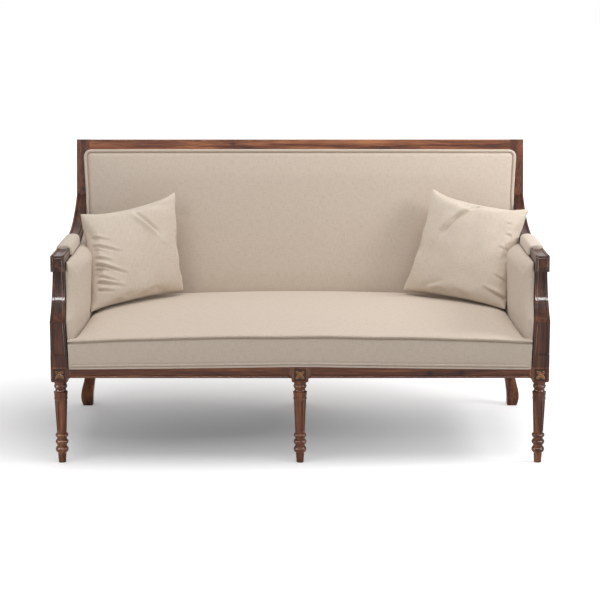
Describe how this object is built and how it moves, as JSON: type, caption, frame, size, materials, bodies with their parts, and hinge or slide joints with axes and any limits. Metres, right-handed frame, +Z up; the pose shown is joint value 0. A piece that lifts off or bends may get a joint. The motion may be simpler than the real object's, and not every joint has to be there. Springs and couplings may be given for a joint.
{
  "type": "two-seat sofa",
  "caption": "Two-seat sofa with a carved wooden show frame, turned front legs, sabre rear legs, close linen upholstery and loose pillows that lift off.",
  "frame": {"origin": "on the floor under the middle of the sofa's outer box", "axes": "+X along the sofa, to the right as seen from the front; +Y to the back; +Z up"},
  "size_m": [1.56, 0.79, 0.95],
  "materials": {
    "lacquered_wood": "glossy reddish brown lacquer",
    "frame_wood": "plain sawn",
    "linen": "fine beige weave",
    "pillow_linen": "fine beige weave",
    "webbing": "woven strap",
    "foam": "open-cell foam",
    "pillow_filling": "loose fibre",
    "dust_cloth": "thin black cloth",
    "screw_steel": "zinc plated"
  },
  "bodies": {
    "frame": {"arm_inner_pad_left": "linen", "arm_inner_pad_right": "linen", "arm_left": "lacquered_wood", "arm_outside_panel_left": "linen", "arm_outside_panel_right": "linen", "arm_right": "lacquered_wood", "arm_support_left": "lacquered_wood", "arm_support_right": "lacquered_wood", "arm_tack_rail_left": "frame_wood", "arm_tack_rail_right": "frame_wood", "arm_top_pad_left": "linen", "arm_top_pad_right": "linen", "back_centre_post": "frame_wood", "back_cover": "linen", "back_foam": "foam", "back_lower_rail": "frame_wood", "back_outside_panel": "linen", "back_top_rail": "lacquered_wood", "back_webbing": "webbing", "corner_block_front_left": "frame_wood", "corner_block_front_right": "frame_wood", "corner_block_rear_left": "frame_wood", "corner_block_rear_right": "frame_wood", "corner_block_screws": "screw_steel", "dust_cover": "dust_cloth", "frame_dowels": "frame_wood", "front_leg_left": "lacquered_wood", "front_leg_middle": "lacquered_wood", "front_leg_right": "lacquered_wood", "front_seat_rail": "lacquered_wood", "rear_leg_middle": "lacquered_wood", "rear_leg_stile_left": "lacquered_wood", "rear_leg_stile_right": "lacquered_wood", "rear_seat_rail": "lacquered_wood", "seat_cover": "linen", "seat_cross_rail": "frame_wood", "seat_foam": "foam", "seat_webbing": "webbing", "side_seat_rail_left": "lacquered_wood", "side_seat_rail_right": "lacquered_wood"},
    "pillow_left": {"pillow_cover_left": "pillow_linen", "pillow_filling_left": "pillow_filling"},
    "pillow_right": {"pillow_cover_right": "pillow_linen", "pillow_filling_right": "pillow_filling"}
  },
  "joints": [
    {"name": "pillow_left_lift", "type": "slide", "parent": "frame", "child": "pillow_left", "axis": [0, 0, 1], "range_m": [0, 0.5]},
    {"name": "pillow_right_lift", "type": "slide", "parent": "frame", "child": "pillow_right", "axis": [0, 0, 1], "range_m": [0, 0.5]}
  ]
}
